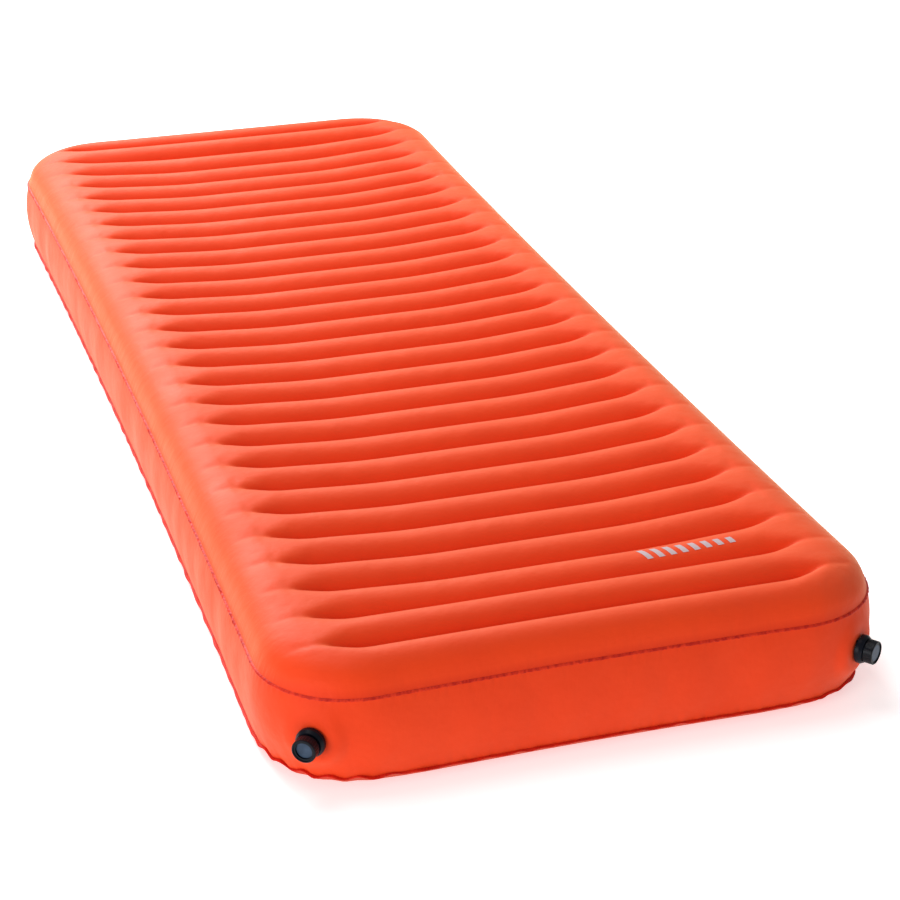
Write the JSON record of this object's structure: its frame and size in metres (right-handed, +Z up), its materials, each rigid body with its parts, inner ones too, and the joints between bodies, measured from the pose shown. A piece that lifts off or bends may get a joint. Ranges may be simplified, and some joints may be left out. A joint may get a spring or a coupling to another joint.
{
  "type": "inflatable sleeping pad",
  "caption": "Rectangular inflated air mattress with cross baffles, a tall side wall, welded perimeter seams and a twist valve in each foot corner.",
  "frame": {"origin": "on the floor under the middle of the pad", "axes": "+Y towards the head end, +Z up, +X to the right seen from the foot end; both valves are in the -Y end"},
  "size_m": [0.7596, 2.0165, 0.158],
  "materials": {
    "shell_fabric": "fine coated nylon, satin",
    "seam_weld": "heat-welded coated nylon, satin",
    "baffle_fabric": "thin coated web, matte",
    "valve_flange": "soft moulded urethane",
    "valve_body": "moulded nylon, satin",
    "twist_cap": "moulded nylon, satin",
    "mouth_plug": "moulded nylon, satin",
    "valve_seal": "moulded rubber"
  },
  "bodies": {
    "pad": {"top_sheet": "shell_fabric", "bottom_sheet": "shell_fabric", "side_wall": "shell_fabric", "top_seam": "seam_weld", "bottom_seam": "seam_weld", "baffle_01": "baffle_fabric", "baffle_02": "baffle_fabric", "baffle_03": "baffle_fabric", "baffle_04": "baffle_fabric", "baffle_05": "baffle_fabric", "baffle_06": "baffle_fabric", "baffle_07": "baffle_fabric", "baffle_08": "baffle_fabric", "baffle_09": "baffle_fabric", "baffle_10": "baffle_fabric", "baffle_11": "baffle_fabric", "baffle_12": "baffle_fabric", "baffle_13": "baffle_fabric", "baffle_14": "baffle_fabric", "baffle_15": "baffle_fabric", "baffle_16": "baffle_fabric", "baffle_17": "baffle_fabric", "baffle_18": "baffle_fabric", "baffle_19": "baffle_fabric", "baffle_20": "baffle_fabric", "baffle_21": "baffle_fabric", "baffle_22": "baffle_fabric", "baffle_23": "baffle_fabric", "baffle_24": "baffle_fabric", "baffle_25": "baffle_fabric", "baffle_26": "baffle_fabric", "baffle_27": "baffle_fabric", "baffle_28": "baffle_fabric", "left_valve_flange": "valve_flange", "left_valve_body": "valve_body", "left_mouth_plug": "mouth_plug", "left_plug_o_ring": "valve_seal", "right_valve_flange": "valve_flange", "right_valve_body": "valve_body", "right_mouth_plug": "mouth_plug", "right_plug_o_ring": "valve_seal"},
    "left_cap_ring": {"left_cap_o_ring": "valve_seal"},
    "left_twist_cap": {"left_twist_cap": "twist_cap"},
    "right_cap_ring": {"right_cap_o_ring": "valve_seal"},
    "right_twist_cap": {"right_twist_cap": "twist_cap"}
  },
  "joints": [
    {"name": "left_cap_slide", "type": "slide", "parent": "pad", "child": "left_cap_ring", "axis": [-0.6018, -0.7986, 0], "range_m": [-0.0026, 0]},
    {"name": "left_cap_turn", "type": "hinge", "parent": "left_cap_ring", "child": "left_twist_cap", "pos_m": [-0.33926, -0.9958, 0.068], "axis": [-0.6018, -0.7986, 0], "range_deg": [-360, 0]},
    {"name": "right_cap_slide", "type": "slide", "parent": "pad", "child": "right_cap_ring", "axis": [0.6018, -0.7986, 0], "range_m": [0, 0.0026]},
    {"name": "right_cap_turn", "type": "hinge", "parent": "right_cap_ring", "child": "right_twist_cap", "pos_m": [0.33926, -0.9958, 0.068], "axis": [0.6018, -0.7986, 0], "range_deg": [0, 360]}
  ],
  "couplings": [
    {"joint": "left_cap_slide", "follows": "left_cap_turn", "m_per_rad": 0.0004138},
    {"joint": "right_cap_slide", "follows": "right_cap_turn", "m_per_rad": 0.0004138}
  ]
}
